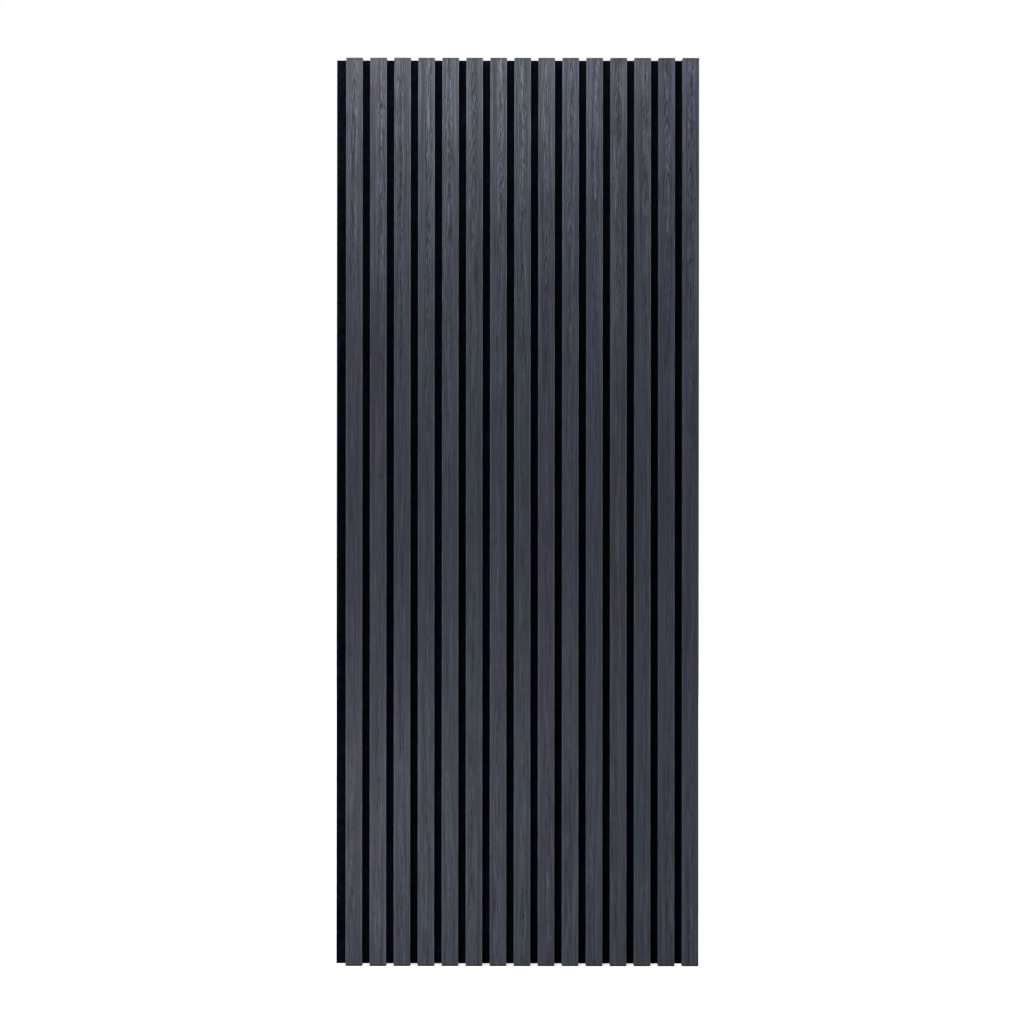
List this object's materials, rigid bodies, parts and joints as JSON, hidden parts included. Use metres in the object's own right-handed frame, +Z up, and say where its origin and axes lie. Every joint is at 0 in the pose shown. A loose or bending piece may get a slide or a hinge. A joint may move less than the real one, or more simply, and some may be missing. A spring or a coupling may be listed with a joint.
{
  "type": "acoustic slat wall panel",
  "caption": "Acoustic wall panel of black-stained oak slats stapled to a black felt board, with a bare felt strip along one edge where the next panel joins on.",
  "frame": {"origin": "centre of the felt board's back face, which lies on the wall", "axes": "+Y points from the slats into the wall, +Z up along the slats, +X to the right as the slats are faced"},
  "size_m": [0.605, 0.021, 1.513],
  "materials": {
    "felt": "matt pressed felt, black",
    "slat": "black-stained oak veneer, open grain, satin",
    "staple": "galvanised flat wire"
  },
  "bodies": {
    "root": {"felt_backing": "felt", "slat_01": "slat", "slat_02": "slat", "slat_03": "slat", "slat_04": "slat", "slat_05": "slat", "slat_06": "slat", "slat_07": "slat", "slat_08": "slat", "slat_09": "slat", "slat_10": "slat", "slat_11": "slat", "slat_12": "slat", "slat_13": "slat", "slat_14": "slat", "slat_15": "slat", "staples_01": "staple", "staples_02": "staple", "staples_03": "staple", "staples_04": "staple", "staples_05": "staple", "staples_06": "staple", "staples_07": "staple", "staples_08": "staple", "staples_09": "staple", "staples_10": "staple", "staples_11": "staple", "staples_12": "staple", "staples_13": "staple", "staples_14": "staple", "staples_15": "staple"}
  },
  "joints": []
}
